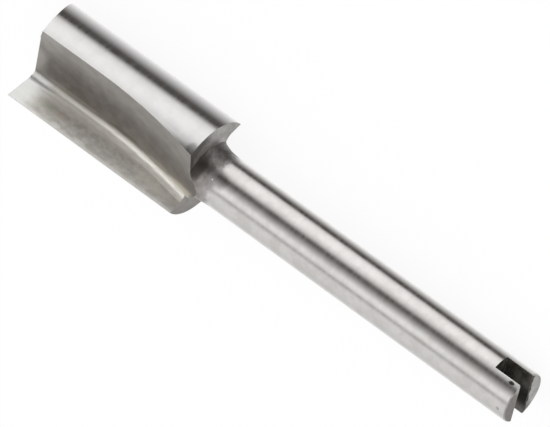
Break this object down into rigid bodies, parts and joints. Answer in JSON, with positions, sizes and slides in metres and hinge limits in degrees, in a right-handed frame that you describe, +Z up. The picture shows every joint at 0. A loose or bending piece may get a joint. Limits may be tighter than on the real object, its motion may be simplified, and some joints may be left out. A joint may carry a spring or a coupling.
{
  "type": "straight router bit",
  "caption": "Ground steel router bit with straight flutes, a cylindrical cutting head and a thin round shank with a slotted end.",
  "frame": {"origin": "bottom centre of the box around the bit as it lies at rest on a flat surface", "axes": "+Z up, +X along the bit from the cutting end towards the slotted end of the shank, which lies about 1.6 degrees lower than level"},
  "size_m": [0.0358, 0.0064, 0.0048],
  "materials": {
    "ground_steel": "fine ground high-speed steel, cylindrical grind on head and shank, duller flutes"
  },
  "bodies": {
    "root": {"router_bit": "ground_steel"}
  },
  "joints": []
}
